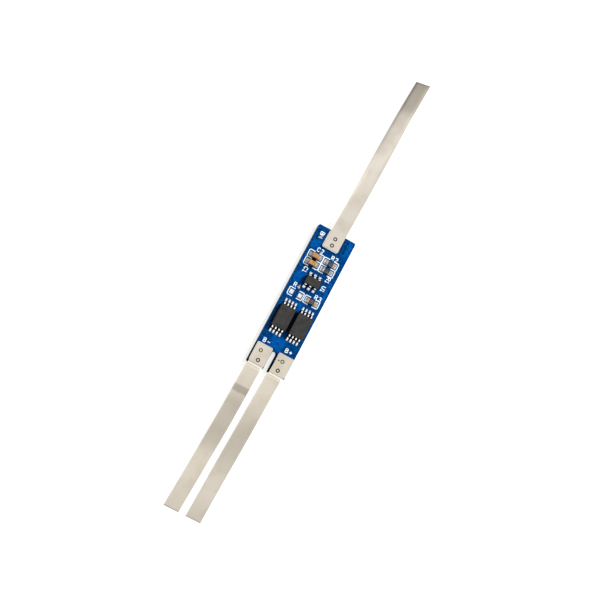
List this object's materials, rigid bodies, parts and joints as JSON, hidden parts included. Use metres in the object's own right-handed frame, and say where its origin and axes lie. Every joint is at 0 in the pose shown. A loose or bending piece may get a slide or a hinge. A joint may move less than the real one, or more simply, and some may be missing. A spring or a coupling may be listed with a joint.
{
  "type": "battery management board",
  "caption": "Narrow blue circuit board for a two-cell lithium pack, with power transistors, a protection chip and flat nickel strips for spot welding to the cells.",
  "frame": {"origin": "centre of the circuit board's underside", "axes": "+Y along the board towards the link strip, +Z out of the component side, +X to the right, towards the positive strip's leg"},
  "size_m": [0.0083, 0.0887, 0.0026],
  "materials": {
    "board": "blue solder mask on glass-epoxy laminate",
    "tinned_copper": "bright tin on copper",
    "solder": "bright solder",
    "print": "white printed ink",
    "nickel": "rolled nickel, faintly warm",
    "lead_metal": "matt tin-plated leads",
    "mould": "black epoxy moulding compound",
    "capacitor_ceramic": "tan ceramic",
    "alumina": "white alumina",
    "resistor_coat": "black overcoat"
  },
  "bodies": {
    "root": {"pcb": "board", "solder_pads": "tinned_copper", "output_pads": "tinned_copper", "printed_frames": "print", "link_tab": "nickel", "neg_tab": "nickel", "pos_tab": "nickel", "tab_solder": "solder", "link_strip": "nickel", "neg_strip": "nickel", "pos_strip": "nickel", "fet_1_body": "mould", "fet_1_leads": "lead_metal", "fet_1_solder": "solder", "fet_2_body": "mould", "fet_2_leads": "lead_metal", "fet_2_solder": "solder", "chip_body": "mould", "chip_leads": "lead_metal", "chip_solder": "solder", "cap_1_ceramic": "capacitor_ceramic", "cap_1_ends": "lead_metal", "cap_2_ceramic": "capacitor_ceramic", "cap_2_ends": "lead_metal", "res_1_ceramic": "alumina", "res_1_ends": "lead_metal", "res_1_coat": "resistor_coat", "res_2_ceramic": "alumina", "res_2_ends": "lead_metal", "res_2_coat": "resistor_coat", "res_3_ceramic": "alumina", "res_3_ends": "lead_metal", "res_3_coat": "resistor_coat", "cap_solder": "solder", "res_solder": "solder", "pad_crowns": "solder"}
  },
  "joints": []
}
